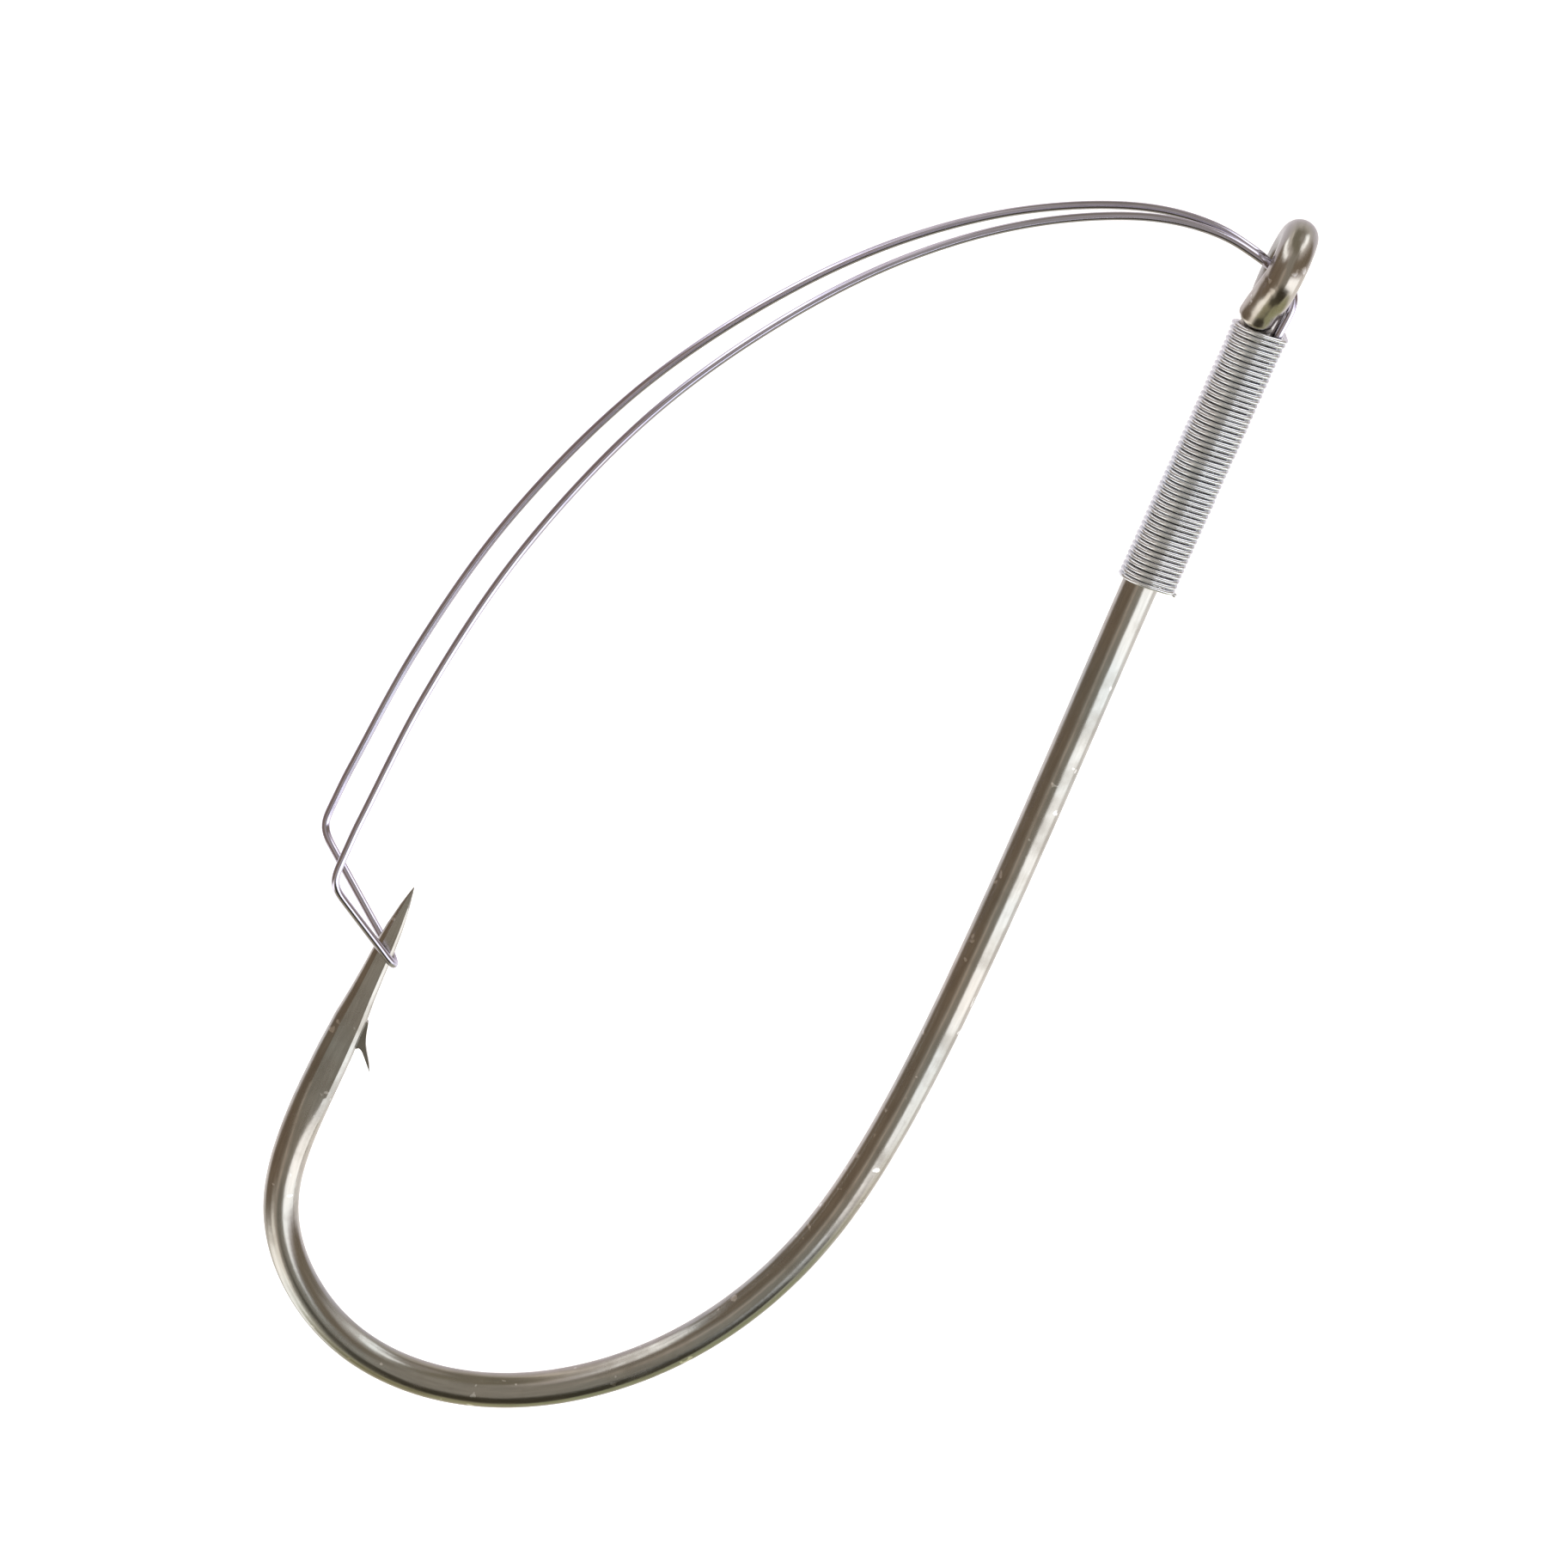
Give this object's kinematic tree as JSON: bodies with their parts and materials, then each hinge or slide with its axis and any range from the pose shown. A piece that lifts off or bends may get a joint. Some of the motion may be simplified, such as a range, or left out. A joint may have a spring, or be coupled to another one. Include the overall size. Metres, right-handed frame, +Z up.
{
  "type": "weedless fishing hook",
  "caption": "Wide-gap forged wire fishing hook with ring eye and barb, and a sprung hairpin weed guard whipped to the shank that closes over the point.",
  "frame": {"origin": "centre of the hook's ring eye, where the line is tied", "axes": "+Z up the shank toward the eye, XZ is the hook's plane, -X is the gap and point side, -Y faces the viewer"},
  "size_m": [0.0292, 0.0052, 0.0608],
  "materials": {
    "hook_metal": "bright nickel-plated forged wire",
    "guard_metal": "drawn spring wire",
    "whipping_metal": "bright tinned binding wire"
  },
  "bodies": {
    "hook_body": {"hook": "hook_metal", "guard_tail_near": "guard_metal", "guard_tail_far": "guard_metal", "whipping": "whipping_metal"},
    "guard_body": {"guard_hairpin": "guard_metal"}
  },
  "joints": [
    {"name": "guard_flex", "type": "hinge", "parent": "hook_body", "child": "guard_body", "pos_m": [-0.00082, 0, 0.00009], "axis": [0, -1, 0], "range_deg": [0, 20], "stiffness_Nm_per_rad": 0.016, "springref_deg": -5.73}
  ]
}
